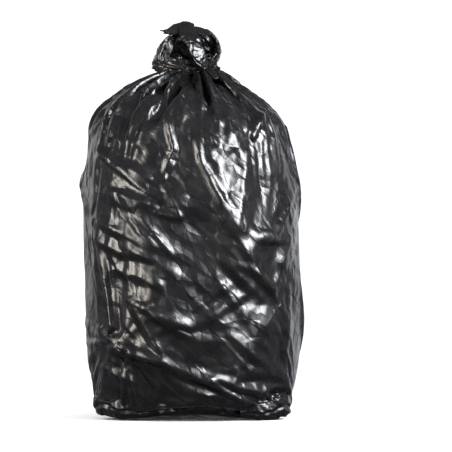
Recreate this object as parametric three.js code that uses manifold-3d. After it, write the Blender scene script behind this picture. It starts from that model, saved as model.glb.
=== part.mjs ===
// A full 130 litre bin bag, closed by knotting its own neck.
// The real thing is one length of blown polyethylene film, sealed straight across the bottom and
// tied in itself at the top, so it is one solid here: belly, pleated shoulder, bottom corners and knot.
// Millimetres, +Z up. The origin is on the floor under the middle of the bag, and the front faces -Y.
import * as THREE from "three";
import { mergeVertices } from "three/addons/utils/BufferGeometryUtils.js";
import Module from "manifold-3d";

// Driving dimensions
const BAG_WIDTH = 490; // across the belly, left to right
const BAG_DEPTH = 452; // across the belly, front to back
const BAG_HEIGHT = 886; // floor to the tip of the knot
const NECK_HEIGHT = 774; // where the film is gathered tightest
const NECK_RADIUS = 34;
const NECK_SHIFT = 8; // the neck sits to the right of the belly's middle
const SHOULDER_LEAN = -14; // and the shoulder below it slumps to the left
const BASE_SHARE = 0.74; // half-width of the flat base, as a share of the belly's
const CORNER_REACH = 209; // how far each bottom corner sticks out from the middle
const CORNER_HEIGHT = 34;
const CORNER_HALF_DEPTH = 46;
const PLEATS = 15; // large folds around the shoulder
const PLEAT_DEPTH = 0.3; // at the neck, as a share of the radius
const PLEAT_START = 610; // height at which the folds begin
const AROUND = 75; // facets around the belly
const ROWS = 32; // facets from floor to neck

// Half-width of the belly as a share of its largest, against height above the floor
const SIDE_PROFILE = [
  [BASE_SHARE, 0],
  [0.87, 16],
  [0.92, 45],
  [0.96, 110],
  [0.985, 280],
  [1.0, 440],
  [0.97, 580],
  [0.91, 645],
  [0.8, 690],
  [0.65, 722],
  [0.46, 752],
  [0.28, 768],
  [NECK_RADIUS / (BAG_WIDTH / 2), NECK_HEIGHT],
];

const film = new THREE.MeshStandardMaterial({
  color: 0x17171a,
  roughness: 0.28,
  metalness: 0,
});

const wasm = await Module();
wasm.setup();

function solidFrom(geometry) {
  const bare = geometry.clone();
  bare.deleteAttribute("normal");
  bare.deleteAttribute("uv");
  const merged = mergeVertices(bare, 1e-3);
  return new wasm.Manifold(
    new wasm.Mesh({
      numProp: 3,
      vertProperties: new Float32Array(merged.attributes.position.array),
      triVerts: new Uint32Array(merged.index.array),
    }),
  );
}

function geometryFrom(solid) {
  const mesh = solid.getMesh();
  const geometry = new THREE.BufferGeometry();
  geometry.setAttribute("position", new THREE.BufferAttribute(mesh.vertProperties, 3));
  geometry.setIndex(new THREE.BufferAttribute(mesh.triVerts, 1));
  geometry.computeVertexNormals();
  return geometry;
}

// Moves every vertex of a geometry through a function of its position
function reshape(geometry, move) {
  const position = geometry.attributes.position;
  const point = new THREE.Vector3();
  for (let i = 0; i < position.count; i += 1) {
    point.fromBufferAttribute(position, i);
    move(point);
    position.setXYZ(i, point.x, point.y, point.z);
  }
  return geometry;
}

const sideCurve = new THREE.SplineCurve(
  SIDE_PROFILE.map(([share, height]) => new THREE.Vector2(share, height)),
);

// The film is drawn into wide panels with narrow valleys between them
function pleatValley(angle) {
  const wander = 0.35 * Math.sin(3 * angle + 0.6) + 0.25 * Math.sin(5 * angle + 2.1);
  const wave = 0.5 - 0.5 * Math.cos(PLEATS * angle + wander * Math.PI);
  return Math.pow(wave, 4);
}

// Shallow dents and bulges where the contents press on the film
function bulge(angle, height) {
  return (
    0.012 * Math.sin(2 * angle + height / 95) +
    0.01 * Math.sin(3 * angle - height / 70 + 1.3) +
    0.007 * Math.sin(5 * angle + height / 48 + 0.4)
  );
}

function makeBelly() {
  const tube = new THREE.CylinderGeometry(1, 1, 1, AROUND, ROWS);
  tube.rotateX(Math.PI / 2); // the cylinder's own axis is Y
  return reshape(tube, (point) => {
    const angle = Math.atan2(point.y, point.x);
    const onAxis = Math.hypot(point.x, point.y) < 1e-6;
    const { x: share, y: height } = sideCurve.getPoint(point.z + 0.5);
    const z = Math.max(0, height);
    const gathered = THREE.MathUtils.smoothstep(z, PLEAT_START, NECK_HEIGHT);
    const loose = THREE.MathUtils.smoothstep(z, 0, 60) * (1 - gathered);
    const radius = share * (1 - PLEAT_DEPTH * gathered * pleatValley(angle) + loose * bulge(angle, z));
    const squareness = 1 + 0.045 * (1 - gathered) * Math.pow(Math.sin(2 * angle), 2);
    const shift =
      SHOULDER_LEAN * THREE.MathUtils.smoothstep(z, 600, 720) +
      (NECK_SHIFT - SHOULDER_LEAN) * THREE.MathUtils.smoothstep(z, 730, NECK_HEIGHT);
    point.x = onAxis ? 0 : (BAG_WIDTH / 2) * radius * squareness * Math.cos(angle);
    point.x += shift;
    point.y = onAxis ? 0 : (BAG_DEPTH / 2) * radius * squareness * Math.sin(angle);
    point.z = z;
    const inCorner =
      Math.exp(-Math.pow(z / CORNER_HEIGHT, 2)) * Math.exp(-Math.pow(point.y / CORNER_HALF_DEPTH, 2));
    const toCorner = Math.sign(point.x) * CORNER_REACH - point.x;
    const isSide = Math.abs(Math.cos(angle)) > 0.7 && !onAxis;
    point.x += isSide ? toCorner * inCorner : 0;
  });
}

// A soft bundle of film: a ball stretched to three half-sizes, creased along its length
function makeLobe(centre, halfSizes, creases, turn) {
  const ball = new THREE.SphereGeometry(1, 22, 13);
  reshape(ball, (point) => {
    const around = Math.atan2(point.z, point.x);
    const crease = 1 - 0.09 * Math.pow(Math.sin((creases * around) / 2), 2) * (1 - point.y * point.y);
    point.multiplyScalar(crease);
  });
  ball.scale(...halfSizes);
  ball.rotateY(turn);
  ball.translate(...centre);
  return ball;
}

// A gathered band of film swept along its route, with lengthwise folds across its section
function makeBand(route, width, thickness, folds, steps) {
  const outline = new THREE.Shape();
  const corners = 18;
  for (let i = 0; i < corners; i += 1) {
    const angle = (i / corners) * 2 * Math.PI;
    const fold = 1 - 0.16 * Math.pow(Math.sin((folds * angle) / 2), 2);
    const x = (width / 2) * fold * Math.cos(angle);
    const y = (thickness / 2) * fold * Math.sin(angle);
    if (i === 0) {
      outline.moveTo(x, y);
    } else {
      outline.lineTo(x, y);
    }
  }
  outline.closePath();
  const curve = new THREE.CatmullRomCurve3(route.map((p) => new THREE.Vector3(...p)));
  return new THREE.ExtrudeGeometry(outline, { steps, bevelEnabled: false, extrudePath: curve });
}

// The free mouth of the bag: a thin flap with a raised tip
function makeEar() {
  const outline = new THREE.Shape();
  outline.moveTo(-64, 863);
  outline.quadraticCurveTo(-44, 866, -27, 880);
  outline.lineTo(-6, BAG_HEIGHT);
  outline.lineTo(14, 867);
  outline.lineTo(8, 838);
  outline.lineTo(-34, 836);
  outline.quadraticCurveTo(-50, 850, -64, 863);
  const flap = new THREE.ExtrudeGeometry(outline, { depth: 14, bevelEnabled: false });
  flap.rotateX(Math.PI / 2); // the outline's Y becomes Z, and the flap's depth runs to -Y
  return flap.translate(0, 4, 0);
}

// The neck wound once round itself, its loop pulled over the front, and its free end on top
function makeKnotParts() {
  const windings = makeLobe([0, 4, 786], [70, 50, 30], 9, 0);
  const leftPouch = makeLobe([-38, 6, 816], [46, 46, 42], 7, 0.5);
  const rightPouch = makeLobe([34, 10, 830], [28, 36, 36], 8, -0.4);
  const strap = makeBand(
    [
      [-30, 2, 862],
      [-12, -20, 858],
      [6, -38, 838],
      [20, -46, 810],
      [34, -36, 788],
      [34, -14, 776],
    ],
    24,
    38,
    7,
    14,
  );
  const loop = makeBand(
    [
      [24, -30, 784],
      [44, -24, 786],
      [55, -8, 806],
      [52, 6, 834],
      [38, 10, 852],
      [20, 14, 850],
    ],
    22,
    30,
    6,
    14,
  );
  return [windings, leftPouch, rightPouch, strap, loop, makeEar()];
}

const whole = makeKnotParts()
  .map(solidFrom)
  .reduce((joined, piece) => joined.add(piece), solidFrom(makeBelly()));

// The film's outline sets the middle of the bag, so the origin is put under the middle of its box
const skin = geometryFrom(whole);
skin.computeBoundingBox();
const middle = skin.boundingBox.getCenter(new THREE.Vector3());
skin.translate(-middle.x, -middle.y, 0);

const bag = new THREE.Mesh(skin, film);
bag.name = "bag";

const binBag = new THREE.Group();
binBag.add(bag);

export default binBag;
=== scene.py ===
import math
import random

import bmesh
import bpy
from mathutils import Matrix, Vector, noise


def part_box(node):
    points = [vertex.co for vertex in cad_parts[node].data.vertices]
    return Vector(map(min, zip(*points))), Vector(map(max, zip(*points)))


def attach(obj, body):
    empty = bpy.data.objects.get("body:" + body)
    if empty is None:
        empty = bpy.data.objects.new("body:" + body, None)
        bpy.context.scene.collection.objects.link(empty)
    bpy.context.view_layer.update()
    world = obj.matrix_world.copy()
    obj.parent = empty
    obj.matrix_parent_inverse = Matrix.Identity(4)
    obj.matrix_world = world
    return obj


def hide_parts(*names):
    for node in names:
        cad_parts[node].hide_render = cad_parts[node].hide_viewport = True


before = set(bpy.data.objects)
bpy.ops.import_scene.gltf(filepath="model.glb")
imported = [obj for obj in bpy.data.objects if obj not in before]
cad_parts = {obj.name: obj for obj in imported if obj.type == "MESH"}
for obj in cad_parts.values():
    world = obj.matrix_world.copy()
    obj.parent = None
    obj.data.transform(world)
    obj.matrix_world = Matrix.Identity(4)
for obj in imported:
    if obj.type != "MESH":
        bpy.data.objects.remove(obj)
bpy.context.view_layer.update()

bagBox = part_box("bag")
scene = bpy.context.scene
noise.seed_set(3)    # noise vectors would start from the clock otherwise
print("frame loaded, bag box", bagBox)

# The bag stands on the floor, with the middle of its front towards -Y
bagSize = {
    "halfWidth": 0.2435,        # belly, half of X
    "halfDepth": 0.2215,        # belly, half of Y
    "neckShift": 0.010,         # the knot sits a little right of the middle
    "seamShare": 0.81,          # reach of the bottom seam towards the corners
    "seamFade": 0.19,           # how far up the film the flat seam still shows
    "squareness": 0.04,         # fuller at the diagonals than an ellipse
}

# Side line of the filled film: share of the half width, height
sideLine = [(0.0, 0.0), (0.34, 0.0), (0.60, 0.002), (0.78, 0.010), (0.895, 0.036), (0.960, 0.10),
            (0.985, 0.24), (1.0, 0.44), (0.975, 0.58), (0.93, 0.64), (0.805, 0.688), (0.63, 0.722),
            (0.46, 0.750), (0.32, 0.767), (0.215, 0.776)]

# How far the middle of the bag leans in X at each height
leanLine = [(0.0, 0.004), (0.06, 0.008), (0.17, 0.008), (0.35, 0.004), (0.44, 0.0), (0.60, -0.004),
            (0.69, -0.013), (0.74, -0.016), (0.776, 0.006)]


def ramp(points, at):
    # straight interpolation through (place, value) pairs
    if at <= points[0][0]:
        return points[0][1]
    for (a, low), (b, high) in zip(points, points[1:]):
        if at <= b:
            return low + (high - low) * (at - a) / (b - a)
    return points[-1][1]


def smoothLine(points, steps):
    # a smooth line through given points of any dimension
    ends = [points[0]] + list(points) + [points[-1]]
    line = []
    for a, b, c, d in zip(ends, ends[1:], ends[2:], ends[3:]):
        for step in range(steps):
            t = step / steps
            line.append(tuple(0.5 * (2 * q + (r - p) * t + (2 * p - 5 * q + 4 * r - s) * t * t
                                     + (3 * q - p - 3 * r + s) * t ** 3)
                              for p, q, r, s in zip(a, b, c, d)))
    line.append(tuple(points[-1]))
    return line


def filmLine():
    # the side line with its running length up the film
    line = smoothLine(sideLine, 16)
    length = 0.0
    rows = [(0.0, line[0][0], 0.0)]
    meanHalf = 0.5 * (bagSize["halfWidth"] + bagSize["halfDepth"])
    for (s0, z0), (s1, z1) in zip(line, line[1:]):
        length += math.hypot((s1 - s0) * meanHalf, z1 - z0)
        rows.append((length, s1, max(0.0, z1)))
    return rows


filmRows = filmLine()
filmLength = filmRows[-1][0]
shareAt = [(row[0], row[1]) for row in filmRows]
heightAt = [(row[0], row[2]) for row in filmRows]


def filledPoint(angle, up):
    # where a point of the smooth, filled film lies: angle from the front, share of the film's length
    along = up * filmLength
    share = ramp(shareAt, along)
    height = ramp(heightAt, along)
    wide = share + max(0.0, bagSize["seamShare"] - share) * max(0.0, 1 - along / bagSize["seamFade"])
    squarish = 1 + bagSize["squareness"] * math.sin(2 * angle) ** 2 * ramp([(0.60, 1), (0.70, 0)], height)
    lean = ramp(leanLine, height)
    return Vector((bagSize["halfWidth"] * wide * squarish * math.sin(angle) + lean,
                   -bagSize["halfDepth"] * share * squarish * math.cos(angle), height))


def surfacePoint(degrees, height, out):
    # a place on the filled bag by its angle from the front and its height, moved outwards
    angle = math.radians(degrees)
    along = ramp([(row[2], row[0]) for row in filmRows], height)
    place = filledPoint(angle, along / filmLength)
    away = Vector((math.sin(angle), -math.cos(angle), ramp([(0.60, 0.05), (0.72, 0.9)], height)))
    return place + away.normalized() * out


contents = {
    "seed": 4, "rows": 8, "columns": 11, "scatter": 0.35,
    "bottom": 0.03, "height": 0.70, "lowest": 0.02, "highest": 0.735, "peak": 0.762,
    "inset": 0.001, "unevenness": 0.018,        # how deep its lumps lie under the film
    "foot": [(0.58, 0.003), (0.76, 0.016)],     # share of the bag's half width, height
    "footCorners": 24,
    "pokeSteps": 5, "pokeWidth": 0.030, "pokeDepth": 0.030,
    "skinOutside": 0.003, "skinInside": 0.03, "friction": 5,
}

# Long lumps under the film: angle and height of both ends, and how far they push it out
pokes = [
    (-50, 0.590, -6, 0.455, 0.017),
    (-47, 0.505, -5, 0.437, 0.014),
    (-32, 0.430, -8, 0.362, 0.016),
    (-54, 0.432, -19, 0.372, 0.014),
    (-32, 0.258, -2, 0.210, 0.015),
    (-30, 0.250, -14, 0.132, 0.013),
    (-54, 0.200, -14, 0.128, 0.015),
    (7, 0.560, 24, 0.394, 0.009),
    (44, 0.400, 24, 0.390, 0.008),
    (10, 0.385, 43, 0.288, 0.010),
    (82, 0.53, 108, 0.43, 0.004),
    (150, 0.58, 180, 0.50, 0.005),
    (160, 0.36, 190, 0.25, 0.005),
    (225, 0.40, 248, 0.28, 0.004),
    (78, 0.28, 100, 0.16, 0.004),
    (240, 0.60, 268, 0.52, 0.004),
]


def hullOf(bm, points):
    # the closed skin round a handful of points, with its corners and faces in the same order each run
    rough = bmesh.new()
    for point in points:
        rough.verts.new(point)
    bmesh.ops.convex_hull(rough, input=rough.verts)
    rough.verts.index_update()
    rings = []
    for face in rough.faces:
        ring = [vert.index for vert in face.verts]
        first = ring.index(min(ring))
        rings.append(ring[first:] + ring[:first])
    rough.free()
    corners = {index: bm.verts.new(points[index]) for index in sorted(sum(rings, []))}
    for ring in sorted(rings):
        bm.faces.new([corners[index] for index in ring])


def newObject(name, bm):
    mesh = bpy.data.meshes.new(name)
    bm.to_mesh(mesh)
    bm.free()
    piece = bpy.data.objects.new(name, mesh)
    scene.collection.objects.link(piece)
    return piece


def makeContents():
    # only a helper for the simulation: what the film lies over
    chance = random.Random(contents["seed"])
    scatter = contents["scatter"]
    bm = bmesh.new()
    points = []
    for row in range(contents["rows"] + 1):
        for column in range(contents["columns"]):
            place = column + 0.5 * (row % 2) + chance.uniform(-scatter, scatter)
            degrees = 360 * place / contents["columns"]
            level = row + chance.uniform(-scatter, scatter)
            height = contents["bottom"] + contents["height"] * level / contents["rows"]
            height = min(max(height, contents["lowest"]), contents["highest"])
            deep = contents["inset"] + chance.uniform(0, contents["unevenness"])
            points.append(surfacePoint(degrees, height, -deep))
    for corner in range(contents["footCorners"]):
        turn = 2 * math.pi * corner / contents["footCorners"]
        for share, height in contents["foot"]:
            points.append(Vector((share * bagSize["halfWidth"] * math.cos(turn),
                                  share * bagSize["halfDepth"] * math.sin(turn), height)))
    points.append(Vector((bagSize["neckShift"], 0, contents["peak"])))
    hullOf(bm, points)
    for degrees0, height0, degrees1, height1, push in pokes:
        crest = []
        for step in range(contents["pokeSteps"] + 1):
            t = step / contents["pokeSteps"]
            lift = push * math.sin(math.pi * (0.12 + 0.76 * t)) ** 0.6
            crest.append((degrees0 + (degrees1 - degrees0) * t, height0 + (height1 - height0) * t, lift))
        slope = math.atan2(height1 - height0, math.radians(degrees1 - degrees0) * bagSize["halfWidth"])
        acrossDegrees = math.degrees(contents["pokeWidth"] * math.sin(slope) / bagSize["halfWidth"])
        acrossHeight = contents["pokeWidth"] * math.cos(slope)
        for first, second in zip(crest, crest[1:]):
            stretch = [first, second]
            top = [surfacePoint(d, h, lift) for d, h, lift in stretch]
            sides = [surfacePoint(d - acrossDegrees * side, h + acrossHeight * side, -contents["pokeDepth"])
                     for d, h, lift in stretch for side in (-1, 1)]
            hullOf(bm, top + sides)
    bmesh.ops.recalc_face_normals(bm, faces=bm.faces)
    helper = newObject("contents", bm)
    helper.modifiers.new("Collision", 'COLLISION')
    helper.collision.thickness_outer = contents["skinOutside"]
    helper.collision.thickness_inner = contents["skinInside"]
    helper.collision.cloth_friction = contents["friction"]
    return helper


film = {
    "around": 208, "up": 116,
    "pleats": 13, "pleatDepth": 0.72, "pleatNarrow": 4,
    "noise": 0.003,
    "slack": 0.024,             # spare film, share of its length
    "drop": 0.014,              # how far the shoulder sinks while the contents settle
    "twist": -2.5,              # degrees, from knotting the neck
    "frames": 36, "tieFrames": 25,
    "suction": -0.85, "gravity": 0.5,
    "hold": 0.5,                # how firmly the shoulder keeps its place
    "heldRows": 0.6,            # rows at the neck that don't move at all
    "heldSeam": 0.62,           # share of the half width that stands still on the floor
    "mass": 0.2, "stiffness": 40, "shear": 10, "bending": 0.1, "gap": 0.002,
}


def makeTube():
    # blown film is a tube: one ring of long faces, cut into rows, then blown up to the filled shape
    bm = bmesh.new()
    bmesh.ops.create_cone(bm, cap_ends=False, segments=film["around"], radius1=1, radius2=1, depth=1)
    upright = [e for e in bm.edges if abs(e.verts[0].co.z - e.verts[1].co.z) > 0.5]
    bmesh.ops.subdivide_edges(bm, edges=upright, cuts=film["up"] - 1)
    upLayer = bm.verts.layers.float.new("up")
    for vert in bm.verts:
        angle = math.atan2(vert.co.x, -vert.co.y)
        up = min(1.0, max(0.0, vert.co.z + 0.5))
        vert[upLayer] = up
        vert.co = filledPoint(angle, up)
        pleat(vert, angle)
    bmesh.ops.remove_doubles(bm, verts=bm.verts, dist=1e-5)
    bmesh.ops.recalc_face_normals(bm, faces=bm.faces)
    return bm


def pleat(vert, angle):
    # gathers the shoulder into the neck and roughens the film a little
    place = vert.co.copy()
    wander = 0.9 * math.sin(3 * angle + 0.6) + 0.7 * math.sin(5 * angle + 2.1)
    groove = (0.5 - 0.5 * math.cos(film["pleats"] * angle + wander)) ** film["pleatNarrow"]
    strength = 0.75 + 0.9 * noise.noise(Vector((1.6 * math.sin(angle), 1.6 * math.cos(angle), 4)))
    depth = film["pleatDepth"] * min(1.25, max(0.25, strength))
    depth *= ramp([(0.60, 0), (0.70, 0.40), (0.776, 1)], place.z) * groove
    vert.co.x -= (place.x - bagSize["neckShift"]) * depth
    vert.co.y -= place.y * depth
    rough = film["noise"] * ramp([(0.0, 0), (0.05, 1), (0.72, 1), (0.776, 0)], place.z)
    away = Vector((place.x, place.y, 0)).normalized()
    vert.co += away * rough * (noise.noise(place * 12) + 0.5 * noise.noise(place * 33))
    vert.co.z += film["drop"] * ramp([(0.03, 0), (0.60, 1)], place.z)


def tiedPlace(place):
    # where the tied and settled bag carries a point of the loose one
    height = place.z
    turn = math.radians(film["twist"]) * ramp([(0.05, 0), (0.62, 1)], height)
    middle = Vector((bagSize["neckShift"], 0, 0))
    moved = Matrix.Rotation(turn, 3, 'Z') @ (place - middle) + middle
    moved.z -= film["drop"] * ramp([(0.03, 0), (0.62, 1)], height)
    return moved


def clothOn(piece, feel):
    # makes a piece behave as slack film, as far as its "held" points let it
    cloth = piece.modifiers.new("Cloth", 'CLOTH')
    settings = cloth.settings
    settings.quality = 5
    settings.mass = feel["mass"]
    settings.tension_stiffness = feel["stiffness"]
    settings.compression_stiffness = feel["stiffness"]
    settings.bending_stiffness = feel["bending"]
    settings.vertex_group_mass = "held"
    settings.shrink_min = -feel["slack"]
    settings.effector_weights.gravity = feel["gravity"]
    cloth.point_cache.frame_end = feel["frames"]
    return cloth


def playCloth(piece, frames):
    # the piece's shape after the last frame, as a plain mesh
    for step in range(1, frames + 1):
        scene.frame_set(step)
    graph = bpy.context.evaluated_depsgraph_get()
    return bpy.data.meshes.new_from_object(piece.evaluated_get(graph))


def settleFilm(skin, helpers):
    # lets the film fall into folds over the contents, and keeps the result as a plain mesh
    mesh = skin.data
    skin.shape_key_add(name="loose")
    tied = skin.shape_key_add(name="tied")
    for vert, point in zip(mesh.vertices, tied.data):
        point.co = tiedPlace(vert.co)
    tied.value = 0
    tied.keyframe_insert("value", frame=1)
    tied.value = 1
    tied.keyframe_insert("value", frame=film["tieFrames"])
    held = skin.vertex_groups.new(name="held")
    for vert, up in zip(mesh.vertices, mesh.attributes["up"].data):
        weight = film["hold"] * ramp([(0.62, 0), (0.71, 1)], vert.co.z)
        if up.value > 1 - film["heldRows"] / film["up"]:
            weight = 1
        if vert.co.z < 0.001 and abs(vert.co.x) < film["heldSeam"] * bagSize["halfWidth"]:
            weight = 1
        if weight > 0:
            held.add([vert.index], weight, 'REPLACE')
    cloth = clothOn(skin, film)
    cloth.settings.shear_stiffness = film["shear"]
    cloth.settings.use_pressure = True
    cloth.settings.uniform_pressure_force = film["suction"]
    cloth.collision_settings.distance_min = film["gap"]
    cloth.collision_settings.collision_quality = 2
    settled = playCloth(skin, film["frames"])
    for helper in [skin] + helpers:
        bpy.data.objects.remove(helper)
    scene.frame_set(1)
    return settled


# Crushed film: flat facets that meet in straight creases, drawn out along the direction of the folds
creases = {
    "along": (0.74, 0.0, -0.67), "stretch": 2.0,        # on the front and back
    "alongSides": (0.1, 0.1, -1.0), "sideShare": 0.4,   # upright and lower round the sides
    "sideFrom": 0.12, "sideTo": 0.20,                   # where, in X, the one gives way to the other
    "warp": 0.010, "warpPace": 9,                       # how far and how often they wander
    "layers": [(0.120, 0.12, 5), (0.050, 0.05, 11)],    # facet size, steepness, seed
    "calmFront": (0.13, 0.19),                          # smooth below, creased above
    "calmShoulder": (0.60, 0.70),                       # creased below, nearly smooth above
}


def facets(place, size, seed):
    # the difference of two nearest-point fields is flat between straight creases
    here = place / size
    first = noise.voronoi(here + Vector((seed, 0, 0)), distance_metric='DISTANCE_SQUARED')[0][0]
    second = noise.voronoi(here + Vector((0, seed, 7)), distance_metric='DISTANCE_SQUARED')[0][0]
    return size * (first - second)


def creasesAt(place, along):
    # the height of the creases at a place, drawn out along one direction
    drawn = place - along * place.dot(along) * (1 - 1 / creases["stretch"])
    return sum(steep * facets(drawn, size, seed) for size, steep, seed in creases["layers"])


def creaseFilm(bm):
    # lifts the film along its own normal by the two sets of creases, blended round the sides
    across = Vector(creases["along"]).normalized()
    upright = Vector(creases["alongSides"]).normalized()
    calmTop, creasedFrom = creases["calmFront"]
    creasedTo, calmFrom = creases["calmShoulder"]
    bm.normal_update()
    moves = []
    for vert in bm.verts:
        side = ramp([(creases["sideFrom"], 0), (creases["sideTo"], 1)], abs(vert.co.x))
        place = vert.co + creases["warp"] * noise.noise_vector(vert.co * creases["warpPace"])
        front = max(0.0, -vert.normal.y) * ramp([(0.10, 1), (0.22, 0)], abs(vert.co.x))
        share = ramp([(creasedTo, 1), (calmFrom, 0.15), (0.77, 0)], vert.co.z)
        share *= 1 - front * ramp([(calmTop, 1), (creasedFrom, 0)], vert.co.z)
        share *= ramp([(0.0, 0), (0.02, 1)], vert.co.z)
        lift = 0.0
        if side < 1:
            lift += (1 - side) * creasesAt(place, across)
        if side > 0:
            lift += side * creases["sideShare"] * creasesAt(place, upright)
        moves.append(vert.normal * share * lift)
    for vert, move in zip(bm.verts, moves):
        vert.co += move


# Deep folds running down from the neck: angle and height at both ends, depth and half width
gathers = {
    "top": 0.772, "lowest": 0.60,
    "lip": 0.22, "lipAt": 1.25, "lipWidth": 0.6,    # height, place and width of the lip, in folds
    "folds": [
        (12, 10, 0.652, 0.030, 0.011), (-8, -26, 0.640, 0.026, 0.020), (-34, -42, 0.668, 0.020, 0.012),
        (-50, -60, 0.640, 0.022, 0.013), (-70, -74, 0.610, 0.020, 0.014), (34, 46, 0.650, 0.020, 0.010),
        (52, 66, 0.655, 0.022, 0.014), (24, 27, 0.690, 0.016, 0.008), (-22, -34, 0.700, 0.016, 0.009),
        (82, 92, 0.640, 0.024, 0.014), (106, 118, 0.655, 0.020, 0.012), (128, 136, 0.630, 0.024, 0.016),
        (152, 158, 0.650, 0.020, 0.012), (172, 184, 0.635, 0.026, 0.016), (200, 208, 0.660, 0.020, 0.012),
        (222, 236, 0.640, 0.024, 0.014), (246, 254, 0.650, 0.020, 0.012), (268, 276, 0.630, 0.022, 0.014),
    ],
}


def gatherNeck(bm):
    # presses each fold into the shoulder as a sharp valley with a slightly raised lip
    bm.normal_update()
    moves = {}
    for vert in bm.verts:
        outX = vert.co.x - bagSize["neckShift"]
        radius = math.hypot(outX, vert.co.y)
        if vert.co.z < gathers["lowest"] or radius < 0.005:
            continue
        angle = math.degrees(math.atan2(outX, -vert.co.y))
        push = 0.0
        for first, last, low, depth, halfWidth in gathers["folds"]:
            down = (gathers["top"] - vert.co.z) / (gathers["top"] - low)
            if down > 1:
                continue
            down = max(down, 0.0)
            bend = first + (last - first) * down ** 0.8
            apart = abs((angle - bend + 180) % 360 - 180)
            wide = halfWidth * (0.45 + 0.75 * down)
            reach = radius * math.radians(apart) / wide
            fade = (1 - down ** 2) * min(1.0, 0.35 + radius / 0.08)
            push -= depth * fade * max(0.0, 1 - reach)
            lip = max(0.0, 1 - abs(reach - gathers["lipAt"]) / gathers["lipWidth"])
            push += gathers["lip"] * depth * fade * lip
        moves[vert] = vert.normal * push
    for vert, move in moves.items():
        vert.co += move


# Sharp folds across the front: x and z of both ends, height, reach of the flanks above and below.
# The back has the same folds, half a turn round.
ridges = [
    (-0.168, 0.560, -0.052, 0.506, 0.008, 0.060, 0.016), (-0.060, 0.514, -0.012, 0.434, 0.007, 0.040, 0.014),
    (-0.184, 0.502, -0.062, 0.458, 0.012, 0.018, 0.030), (-0.078, 0.452, -0.012, 0.436, 0.008, 0.016, 0.012),
    (-0.130, 0.440, -0.060, 0.366, 0.009, 0.014, 0.012), (-0.104, 0.440, -0.030, 0.352, 0.008, 0.012, 0.012),
    (-0.200, 0.436, -0.070, 0.368, 0.009, 0.026, 0.016), (-0.215, 0.402, -0.120, 0.352, 0.007, 0.020, 0.014),
    (-0.150, 0.388, -0.070, 0.346, 0.008, 0.016, 0.020), (-0.160, 0.330, -0.050, 0.290, 0.006, 0.030, 0.016),
    (-0.136, 0.268, 0.000, 0.202, 0.008, 0.014, 0.012), (-0.132, 0.268, -0.052, 0.140, 0.009, 0.050, 0.016),
    (-0.080, 0.232, 0.004, 0.180, 0.006, 0.012, 0.012),
    (-0.180, 0.166, -0.050, 0.128, 0.010, 0.018, 0.026), (-0.196, 0.120, -0.110, 0.082, 0.006, 0.014, 0.014),
    (-0.050, 0.664, -0.030, 0.580, 0.008, 0.012, 0.012), (-0.026, 0.600, -0.056, 0.528, 0.008, 0.014, 0.014),
    (0.110, 0.718, 0.124, 0.622, 0.007, 0.012, 0.012), (0.168, 0.690, 0.134, 0.606, 0.008, 0.012, 0.014),
    (0.040, 0.640, 0.058, 0.590, 0.006, 0.014, 0.014), (0.124, 0.590, 0.100, 0.392, 0.009, 0.036, 0.030),
    (0.048, 0.470, 0.104, 0.396, 0.006, 0.024, 0.014), (0.104, 0.400, 0.170, 0.286, 0.007, 0.026, 0.014),
    (0.060, 0.360, 0.162, 0.262, 0.007, 0.024, 0.016), (0.054, 0.320, 0.128, 0.212, 0.006, 0.020, 0.016),
    (0.080, 0.194, 0.170, 0.116, 0.006, 0.024, 0.016), (0.176, 0.262, 0.222, 0.410, 0.007, 0.022, 0.022),
]


def ridgeFilm(bm):
    # raises each fold as a straight edge that tapers to a point at both ends
    bm.normal_update()
    moves = {}
    for vert in bm.verts:
        push = 0.0
        placeX = vert.co.x if vert.co.y < 0 else -vert.co.x
        if abs(vert.co.y) > 0.03:
            for x0, z0, x1, z1, height, above, below in ridges:
                acrossX, acrossZ = x1 - x0, z1 - z0
                length = math.hypot(acrossX, acrossZ)
                along = ((placeX - x0) * acrossX + (vert.co.z - z0) * acrossZ) / length ** 2
                if 0 < along < 1:
                    apart = ((vert.co.z - z0) * acrossX - (placeX - x0) * acrossZ) / length
                    taper = (4 * along * (1 - along)) ** 0.6
                    reach = abs(apart) / ((above if apart > 0 else below) * (0.4 + 0.6 * taper))
                    push += height * taper * max(0.0, 1 - reach)
        moves[vert] = vert.normal * push
    for vert, move in moves.items():
        vert.co += move


foot = {"arch": 0.018, "archHalf": 0.17, "archFrom": -0.06, "archFull": -0.13, "archTop": 0.09}


def archFront(bm):
    # the front of the base is drawn up between its two corners
    for vert in bm.verts:
        share = max(0.0, 1 - (vert.co.x / foot["archHalf"]) ** 2)
        share *= ramp([(foot["archFull"], 1), (foot["archFrom"], 0)], vert.co.y)
        share *= ramp([(0.0, 1), (foot["archTop"], 0)], vert.co.z)
        vert.co.z += foot["arch"] * share


def rounded(mesh, name):
    # the same mesh with one level of smooth subdivision applied
    piece = bpy.data.objects.new(name, mesh)
    scene.collection.objects.link(piece)
    piece.modifiers.new("Rounding", 'SUBSURF').levels = 1
    graph = bpy.context.evaluated_depsgraph_get()
    fine = bpy.data.meshes.new_from_object(piece.evaluated_get(graph))
    bpy.data.objects.remove(piece)
    return fine


def makeBody():
    skin = newObject("loose_film", makeTube())
    bpy.ops.mesh.primitive_plane_add(size=3, location=(0, 0, -0.002))
    ground = bpy.context.object
    ground.modifiers.new("Collision", 'COLLISION')
    settled = settleFilm(skin, [makeContents(), ground])
    bm = bmesh.new()
    bm.from_mesh(rounded(settled, "smooth_film"))
    rim = [e for e in bm.edges if e.is_boundary]
    bmesh.ops.holes_fill(bm, edges=rim)
    bmesh.ops.recalc_face_normals(bm, faces=bm.faces)
    creaseFilm(bm)
    gatherNeck(bm)
    ridgeFilm(bm)
    archFront(bm)
    for vert in bm.verts:
        vert.co.z = max(vert.co.z, 0.0)
    for face in bm.faces:
        face.smooth = True
    return newObject("bag_film", bm)


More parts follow.
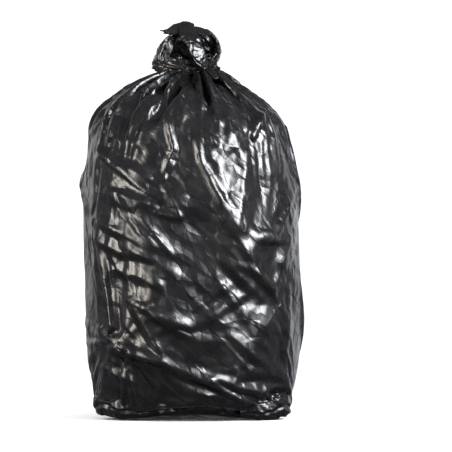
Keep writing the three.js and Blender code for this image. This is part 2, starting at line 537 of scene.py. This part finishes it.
# The knot: the gathered mouth of the bag, wound round itself. Each stretch of gathered film is a
# row of (x, y, z, width, thickness, turn in degrees) along its middle, in metres.
knot = {
    "around": 48, "rows": 8, "wander": 0.8, "grooveDepth": 0.46, "grooveWidth": 0.22,
    "slack": 0.04, "frames": 8, "roughness": 0.0010, "hold": 0.40,
    "mass": 0.05, "stiffness": 40, "bending": 0.3, "gravity": 0,
}

knotStretches = [
    {"name": "lowWinding", "facing": (0.1, 0, 1), "facets": 5, "grooves": 6, "seed": 1, "route": [
        (0.040, 0.030, 0.766, 0.030, 0.024, 0), (-0.010, 0.046, 0.776, 0.040, 0.030, 60),
        (-0.060, 0.026, 0.788, 0.040, 0.036, 140), (-0.072, -0.010, 0.788, 0.030, 0.036, 220),
        (-0.050, -0.038, 0.781, 0.026, 0.032, 300), (-0.008, -0.046, 0.774, 0.024, 0.026, 380),
        (0.032, -0.036, 0.771, 0.026, 0.024, 460), (0.054, -0.006, 0.776, 0.028, 0.026, 540),
        (0.044, 0.026, 0.784, 0.034, 0.028, 620)]},
    {"name": "highWinding", "facing": (-0.3, 0, 1), "facets": 5, "grooves": 5, "seed": 12, "route": [
        (-0.076, 0.010, 0.806, 0.020, 0.018, 0), (-0.062, -0.022, 0.798, 0.024, 0.026, 60),
        (-0.030, -0.038, 0.790, 0.026, 0.024, 120), (0.006, -0.040, 0.786, 0.026, 0.022, 200),
        (0.040, -0.026, 0.784, 0.026, 0.026, 280), (0.052, 0.006, 0.792, 0.020, 0.020, 340)]},
    {"name": "leftLoop", "facing": (0, -1, 0), "facets": 4, "grooves": 2, "seed": 2, "route": [
        (0.006, 0.026, 0.790, 0.026, 0.050, 0), (-0.034, 0.004, 0.790, 0.026, 0.056, 20),
        (-0.059, -0.014, 0.800, 0.038, 0.062, 40), (-0.053, -0.016, 0.822, 0.040, 0.050, 60),
        (-0.046, -0.010, 0.842, 0.026, 0.044, 80), (-0.030, -0.002, 0.857, 0.014, 0.040, 110),
        (0.004, 0.006, 0.860, 0.018, 0.040, 140), (0.024, 0.016, 0.840, 0.026, 0.036, 160)]},
    {"name": "back", "facing": (0, -1, 0), "facets": 5, "grooves": 6, "seed": 3, "route": [
        (-0.076, 0.036, 0.806, 0.012, 0.010, 0), (-0.062, 0.042, 0.812, 0.056, 0.036, 30),
        (-0.022, 0.048, 0.824, 0.086, 0.044, 70), (0.022, 0.044, 0.824, 0.086, 0.044, 120),
        (0.052, 0.032, 0.822, 0.064, 0.040, 150), (0.066, 0.022, 0.818, 0.012, 0.010, 180)]},
    {"name": "rightLoop", "facing": (0, -1, 0), "facets": 5, "grooves": 3, "seed": 4, "route": [
        (0.018, -0.036, 0.782, 0.020, 0.024, 0), (0.042, -0.036, 0.786, 0.022, 0.036, 60),
        (0.058, -0.024, 0.802, 0.016, 0.052, 120), (0.061, -0.008, 0.824, 0.013, 0.062, 180),
        (0.054, 0.000, 0.846, 0.016, 0.060, 240), (0.036, 0.004, 0.858, 0.022, 0.054, 300),
        (0.012, 0.010, 0.854, 0.024, 0.046, 360)]},
    {"name": "rightFill", "facing": (0.2, -1, 0.3), "facets": 5, "grooves": 4, "seed": 17, "route": [
        (0.006, -0.010, 0.866, 0.020, 0.018, 0), (0.020, -0.018, 0.856, 0.036, 0.026, 20),
        (0.036, -0.018, 0.846, 0.038, 0.028, 40), (0.052, -0.010, 0.832, 0.018, 0.018, 60)]},
    {"name": "strapTop", "facing": (0.1, -1, 0.35), "facets": 4, "grooves": 2, "seed": 5, "route": [
        (-0.008, 0.000, 0.885, 0.006, 0.004, 0), (-0.008, -0.014, 0.878, 0.034, 0.012, 0),
        (-0.008, -0.026, 0.865, 0.044, 0.014, 8), (-0.002, -0.040, 0.850, 0.042, 0.014, 20),
        (0.006, -0.050, 0.836, 0.040, 0.012, 40), (0.012, -0.050, 0.824, 0.034, 0.010, 55)]},
    {"name": "strapEnd", "facing": (0.60, -1, 0.40), "facets": 4, "grooves": 1, "seed": 15, "route": [
        (0.002, -0.044, 0.848, 0.020, 0.006, 0), (0.008, -0.054, 0.834, 0.042, 0.011, 10),
        (0.015, -0.061, 0.816, 0.047, 0.013, 20), (0.022, -0.058, 0.799, 0.042, 0.016, 40),
        (0.032, -0.047, 0.784, 0.032, 0.018, 80), (0.042, -0.028, 0.774, 0.022, 0.018, 120)]},
    {"name": "ear", "facing": (-0.1, -1, 0.45), "facets": 4, "grooves": 1, "seed": 6, "route": [
        (0.008, -0.004, 0.868, 0.022, 0.006, 0), (-0.012, -0.014, 0.871, 0.032, 0.008, 0),
        (-0.030, -0.022, 0.869, 0.026, 0.007, 8), (-0.046, -0.026, 0.864, 0.015, 0.005, 14),
        (-0.060, -0.028, 0.862, 0.006, 0.004, 18), (-0.068, -0.028, 0.863, 0.001, 0.002, 20)]},
    {"name": "earUnder", "facing": (0, -1, -0.5), "facets": 4, "grooves": 1, "seed": 7, "route": [
        (0.004, -0.006, 0.860, 0.016, 0.006, 0), (-0.018, -0.022, 0.858, 0.016, 0.006, 5),
        (-0.038, -0.028, 0.857, 0.011, 0.005, 10), (-0.060, -0.027, 0.857, 0.003, 0.003, 20)]},
    {"name": "tail", "facing": (0.3, -1, 0.6), "facets": 4, "grooves": 1, "seed": 8, "route": [
        (0.030, -0.036, 0.782, 0.014, 0.006, 0), (0.042, -0.056, 0.774, 0.017, 0.005, 5),
        (0.050, -0.074, 0.762, 0.017, 0.004, 8), (0.058, -0.088, 0.750, 0.013, 0.003, 10)]},
]


def sectionPlace(line, index, facing):
    # the turned and scaled cross-section at one step along a stretch
    here = Vector(line[index][:3])
    ahead = Vector(line[min(index + 1, len(line) - 1)][:3])
    behind = Vector(line[max(index - 1, 0)][:3])
    along = (ahead - behind).normalized()
    across = facing.cross(along).normalized()
    outward = along.cross(across)
    width, thickness, turn = line[index][3:]
    axes = Matrix((across, outward, along)).transposed().to_4x4()
    spin = Matrix.Rotation(math.radians(turn) * 0.2, 4, 'Z')
    scale = Matrix.Diagonal((0.5 * max(width, 0.001), 0.5 * max(thickness, 0.001), 1, 1))
    return Matrix.Translation(here) @ axes @ scale @ spin


def gatheredShare(angle, along, stretch):
    # how far the gathered film reaches at one angle round its section: flat facets between sharp
    # folds, and a few narrow grooves where it is drawn in
    share = 1.0
    for side in range(stretch["facets"]):
        wander = 0.5 * noise.noise(Vector((side * 7.3, along * knot["wander"], stretch["seed"])))
        facing = 2 * math.pi * side / stretch["facets"] + wander
        reach = 0.86 + 0.16 * noise.noise(Vector((along * knot["wander"], side * 3.1, stretch["seed"] + 5)))
        towards = math.cos(angle - facing)
        if towards > 0.2:
            share = min(share, reach / towards)
    for groove in range(stretch["grooves"]):
        wander = 0.9 * noise.noise(Vector((along * knot["wander"] * 0.7, groove * 4.7, stretch["seed"] + 9)))
        middle = 2 * math.pi * (groove + 0.35) / stretch["grooves"] + wander
        apart = abs((angle - middle + math.pi) % (2 * math.pi) - math.pi)
        depth = knot["grooveDepth"] * (0.65 + 0.7 * noise.noise(Vector((along * 3, groove, stretch["seed"]))))
        share -= depth * max(0.0, 1 - apart / knot["grooveWidth"])
    return max(share, 0.25)


def addStretch(bm, stretch):
    # gathered film as a ring drawn along its line and pleated as it goes, closed at both ends
    facing = Vector(stretch["facing"]).normalized()
    line = smoothLine(stretch["route"], knot["rows"])
    made = bmesh.ops.create_circle(bm, cap_ends=False, segments=knot["around"], radius=1)
    ring = made["verts"]
    edges = [edge for edge in bm.edges if edge.is_wire]
    before = Matrix.Identity(4)
    for index in range(len(line)):
        if index:
            grown = bmesh.ops.extrude_edge_only(bm, edges=edges)["geom"]
            ring = [g for g in grown if isinstance(g, bmesh.types.BMVert)]
            edges = [g for g in grown if isinstance(g, bmesh.types.BMEdge)]
        place = sectionPlace(line, index, facing)
        back = before.inverted()
        for vert in ring:
            flat = back @ vert.co
            angle = math.atan2(flat.y, flat.x)
            share = gatheredShare(angle, index / knot["rows"], stretch)
            vert.co = place @ Vector((share * math.cos(angle), share * math.sin(angle), 0))
        if not index:
            bmesh.ops.contextual_create(bm, geom=edges)
        before = place
    bmesh.ops.contextual_create(bm, geom=edges)


def putInOrder(bm):
    # extruding leaves edges and faces in no fixed order, and the cloth has to meet the same one each run
    bm.verts.index_update()
    count = len(bm.verts)

    def rank(part):
        corners = sorted(vert.index for vert in part.verts)
        return (corners[0] * count + corners[1]) * count + corners[-1]

    bm.edges.sort(key=rank)
    bm.faces.sort(key=rank)


def crumple(piece):
    # lets the gathered film grow a little, so that it buckles as crushed film does
    for vert in piece.data.vertices:
        rough = noise.noise(vert.co * 45) + 0.5 * noise.noise(vert.co * 110)
        vert.co += vert.normal * knot["roughness"] * rough
    held = piece.vertex_groups.new(name="held")
    held.add(range(len(piece.data.vertices)), knot["hold"], 'REPLACE')
    clothOn(piece, knot).collision_settings.use_collision = False
    crushed = playCloth(piece, knot["frames"])
    piece.modifiers.clear()
    piece.vertex_groups.clear()
    piece.data = crushed
    scene.frame_set(1)


def makeGathered(name, stretches):
    bm = bmesh.new()
    for stretch in stretches:
        addStretch(bm, stretch)
    putInOrder(bm)
    bmesh.ops.recalc_face_normals(bm, faces=bm.faces)
    for face in bm.faces:
        face.smooth = True
    piece = newObject(name, bm)
    crumple(piece)
    for vert in piece.data.vertices:
        vert.co.z = max(vert.co.z, 0.0)
    rounding = piece.modifiers.new("Rounding", 'SUBSURF')
    rounding.levels = 1
    rounding.render_levels = 1
    return piece


# The two bottom corners of the flat tube, folded and pushed out by the weight
cornerStretches = [
    {"name": "leftCorner", "facing": (0, 0, 1), "facets": 6, "grooves": 7, "seed": 21, "route": [
        (-0.086, -0.118, 0.024, 0.020, 0.020, 0), (-0.128, -0.121, 0.032, 0.034, 0.060, 10),
        (-0.165, -0.104, 0.039, 0.042, 0.070, 20), (-0.190, -0.078, 0.040, 0.042, 0.068, 30),
        (-0.197, -0.045, 0.038, 0.032, 0.058, 40), (-0.190, -0.012, 0.030, 0.010, 0.016, 50)]},
    {"name": "rightCorner", "facing": (0, 0, 1), "facets": 6, "grooves": 6, "seed": 24, "route": [
        (0.110, -0.118, 0.020, 0.020, 0.020, 0), (0.146, -0.118, 0.026, 0.034, 0.050, -10),
        (0.180, -0.102, 0.031, 0.044, 0.062, -20), (0.202, -0.074, 0.033, 0.046, 0.064, -30),
        (0.206, -0.042, 0.032, 0.036, 0.054, -40), (0.196, -0.010, 0.026, 0.010, 0.016, -50)]},
]


finish = {
    "colour": (0.0026, 0.0026, 0.003, 1), "dusty": (0.006, 0.0056, 0.005, 1),
    "roughness": (0.19, 0.36),
    "creases": [(0.060, 0.08), (0.024, 0.085)],     # size and steepness of the small sharp creases
    "turn": 0.72, "drawn": 1.8,                     # they lie aslant and are drawn out lengthwise
    "shift": (3.1, 1.7, 0.4),                       # between the two sets of points that make them
    "grainSize": 0.008, "grainDepth": 0.00032,      # upright crinkle of thin film
}


def filmMaterial():
    # thin black film: small creases and an upright crinkle, its gloss and dust uneven
    material = bpy.data.materials.new("black_film")
    material.use_nodes = True
    nodes = material.node_tree.nodes
    links = material.node_tree.links
    shader = nodes["Principled BSDF"]
    shader.inputs["IOR"].default_value = 1.5
    place = nodes.new("ShaderNodeTexCoord").outputs["Object"]

    def reckon(kind, first, second):
        node = nodes.new("ShaderNodeMath")
        node.operation = kind
        for socket, value in zip(node.inputs, (first, second)):
            if isinstance(value, float):
                socket.default_value = value
            else:
                links.new(value, socket)
        return node.outputs[0]

    def cells(size, shift):
        # squared distance to the nearest of many scattered points
        moved = nodes.new("ShaderNodeMapping")
        moved.vector_type = 'TEXTURE'
        moved.inputs["Location"].default_value = shift
        moved.inputs["Rotation"].default_value = (0, finish["turn"], 0)
        moved.inputs["Scale"].default_value = (finish["drawn"], 1, 1)
        links.new(place, moved.inputs["Vector"])
        cell = nodes.new("ShaderNodeTexVoronoi")
        cell.inputs["Scale"].default_value = 1 / size
        links.new(moved.outputs[0], cell.inputs["Vector"])
        return reckon('POWER', cell.outputs["Distance"], 2.0)

    def grain(size, stretch, detail):
        drawn = nodes.new("ShaderNodeMapping")
        drawn.inputs["Scale"].default_value = (1, 1, stretch)
        links.new(place, drawn.inputs["Vector"])
        cloud = nodes.new("ShaderNodeTexNoise")
        cloud.inputs["Scale"].default_value = 1 / size
        cloud.inputs["Detail"].default_value = detail
        links.new(drawn.outputs[0], cloud.inputs["Vector"])
        return cloud.outputs["Fac"]

    height = reckon('MULTIPLY', grain(finish["grainSize"], 0.3, 3), finish["grainDepth"])
    for size, steepness in finish["creases"]:
        # the difference of two such distances is flat between straight creases
        facet = reckon('SUBTRACT', cells(size, (0, 0, 0)), cells(size, finish["shift"]))
        patches = reckon('MULTIPLY', grain(2.5 * size, 0.7, 1), 2 * size * steepness)
        height = reckon('ADD', height, reckon('MULTIPLY', facet, patches))
    bump = nodes.new("ShaderNodeBump")
    bump.inputs["Strength"].default_value = 1
    bump.inputs["Distance"].default_value = 1
    links.new(height, bump.inputs["Height"])
    links.new(bump.outputs[0], shader.inputs["Normal"])

    gloss = nodes.new("ShaderNodeMapRange")
    gloss.inputs["From Min"].default_value = 0.3
    gloss.inputs["From Max"].default_value = 0.7
    gloss.inputs["To Min"].default_value, gloss.inputs["To Max"].default_value = finish["roughness"]
    links.new(grain(0.05, 0.5, 4), gloss.inputs["Value"])
    links.new(gloss.outputs[0], shader.inputs["Roughness"])

    tint = nodes.new("ShaderNodeValToRGB")
    clean, dusty = tint.color_ramp.elements
    clean.position, clean.color = 0.45, finish["colour"]
    dusty.position, dusty.color = 0.75, finish["dusty"]
    links.new(grain(0.03, 0.6, 5), tint.inputs[0])
    links.new(tint.outputs[0], shader.inputs["Base Color"])
    return material


bag = makeBody()
print("body settled", len(bag.data.vertices), "points")
blackFilm = filmMaterial()
bag.data.materials.clear()
bag.data.materials.append(blackFilm)
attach(bag, "root")
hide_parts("bag")

for name, stretches in (("knot", knotStretches), ("corner_folds", cornerStretches)):
    gathered = makeGathered(name, stretches)
    gathered.data.materials.clear()
    gathered.data.materials.append(blackFilm)
    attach(gathered, "root")
    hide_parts("bag")
    print(name, "gathered", len(gathered.data.vertices), "points")

studio = {
    "key": {"from": (1.55, -1.25, 1.35), "at": (0, 0, 0.58), "size": (1.1, 1.1), "glow": 29,
            "colour": (0.95, 0.97, 1.0)},
    "side": {"from": (-1.60, -1.20, 0.75), "at": (0, 0, 0.45), "size": (0.60, 1.6), "glow": 13,
             "colour": (1.0, 0.94, 0.86)},
}


def makeLight(name, lamp):
    data = bpy.data.lights.new(name, 'AREA')
    data.shape = 'RECTANGLE'
    data.size, data.size_y = lamp["size"]
    data.energy = math.pi * lamp["glow"] * data.size * data.size_y
    data.color = lamp["colour"]
    light = bpy.data.objects.new(name, data)
    light.location = lamp["from"]
    light.visible_camera = False
    aim = Vector(lamp["at"]) - Vector(lamp["from"])
    light.rotation_euler = aim.to_track_quat('-Z', 'Y').to_euler()
    scene.collection.objects.link(light)


for name, lamp in studio.items():
    makeLight(name + "_light", lamp)


def makeFloor():
    bm = bmesh.new()
    bmesh.ops.create_grid(bm, x_segments=1, y_segments=1, size=4)
    floor = newObject("studio_floor", bm)
    paint = bpy.data.materials.new("pale_floor")
    paint.use_nodes = True
    shader = paint.node_tree.nodes["Principled BSDF"]
    shader.inputs["Base Color"].default_value = (0.85, 0.85, 0.85, 1)
    shader.inputs["Roughness"].default_value = 0.9
    floor.data.materials.append(paint)
    floor.visible_glossy = False


room = {
    "backdrop": 1.25,
    "front": 0.40, "behind": 0.34, "unevenness": (0.5, 1.2),    # brightness of what the film mirrors
    "floor": 0.3, "overhead": 0.8, "colour": (0.97, 0.96, 1.10),
    "panels": [                                                 # towards, half angle, brightness, colour
        ((0.70, -0.62, 0.34), 28, 6.0, (0.93, 0.96, 1.0)),
        ((-0.74, -0.66, 0.16), 32, 3.2, (1.0, 0.94, 0.86)),
        ((0.35, 0.90, 0.20), 36, 0.9, (0.93, 0.96, 1.0)),
        ((-0.45, 0.85, 0.35), 30, 0.8, (1.0, 0.97, 0.93)),
    ],
}


def makeWorld():
    # a white backdrop; what the film mirrors is a dim, uneven room, dark below the horizon, with
    # wide soft panels: cool on the right, warm on the left, and two dimmer ones behind
    world = bpy.data.worlds.new("studio")
    world.use_nodes = True
    nodes = world.node_tree.nodes
    links = world.node_tree.links
    path = nodes.new("ShaderNodeLightPath")
    sky = nodes.new("ShaderNodeTexCoord").outputs["Generated"]
    parts = nodes.new("ShaderNodeSeparateXYZ")
    links.new(sky, parts.inputs[0])

    def between(socket, low, high, first, last, kind='LINEAR'):
        node = nodes.new("ShaderNodeMapRange")
        node.interpolation_type = kind
        for index, value in enumerate((low, high, first, last), 1):
            node.inputs[index].default_value = value
        links.new(socket, node.inputs[0])
        return node.outputs[0]

    def combine(kind, first, second):
        node = nodes.new("ShaderNodeVectorMath")
        node.operation = kind
        for socket, value in zip(node.inputs, (first, second)):
            if isinstance(value, tuple):
                socket.default_value = value
            else:
                links.new(value, socket)
        return node.outputs["Value"] if kind == 'DOT_PRODUCT' else node.outputs[0]

    clouds = nodes.new("ShaderNodeTexNoise")
    clouds.inputs["Scale"].default_value = 2.2
    links.new(sky, clouds.inputs["Vector"])
    wall = between(parts.outputs["Y"], -0.3, 0.8, room["front"], room["behind"])
    uneven = between(clouds.outputs["Fac"], 0.4, 0.65, *room["unevenness"])
    upper = between(parts.outputs["Z"], -0.6, 0.0, room["floor"], 1.0)
    overhead = between(parts.outputs["Z"], 0.3, 0.8, 1.0, room["overhead"])
    mirrored = combine('MULTIPLY', combine('MULTIPLY', wall, uneven), combine('MULTIPLY', upper, overhead))
    mirrored = combine('MULTIPLY', mirrored, room["colour"])
    for towards, halfAngle, glow, colour in room["panels"]:
        facing = combine('DOT_PRODUCT', sky, tuple(Vector(towards).normalized()))
        lobe = between(facing, math.cos(math.radians(halfAngle)), 1.0, 0.0, glow, 'SMOOTHSTEP')
        mirrored = combine('ADD', mirrored, combine('MULTIPLY', lobe, colour))
    mix = nodes.new("ShaderNodeMix")
    mix.data_type = 'RGBA'
    mix.inputs[6].default_value = (room["backdrop"], room["backdrop"], room["backdrop"], 1)
    links.new(mirrored, mix.inputs[7])
    links.new(path.outputs["Is Glossy Ray"], mix.inputs[0])
    links.new(mix.outputs[2], nodes["Background"].inputs["Color"])
    scene.world = world


makeFloor()
makeWorld()
scene.view_settings.view_transform = 'Standard'

camera = {"distance": 5.0, "elevation": -1.5, "aim": (0.0794, 0, 0.4275), "frameWidth": 1.011}


def makeCamera():
    data = bpy.data.cameras.new("camera")
    data.sensor_width = 36
    data.lens = data.sensor_width * camera["distance"] / camera["frameWidth"]
    eye = bpy.data.objects.new("camera", data)
    tilt = math.radians(camera["elevation"])
    away = Vector((0, -math.cos(tilt), math.sin(tilt))) * camera["distance"]
    eye.location = Vector(camera["aim"]) + away
    eye.rotation_euler = (math.pi / 2 - tilt, 0, 0)
    scene.collection.objects.link(eye)
    scene.camera = eye


makeCamera()
print("studio ready")
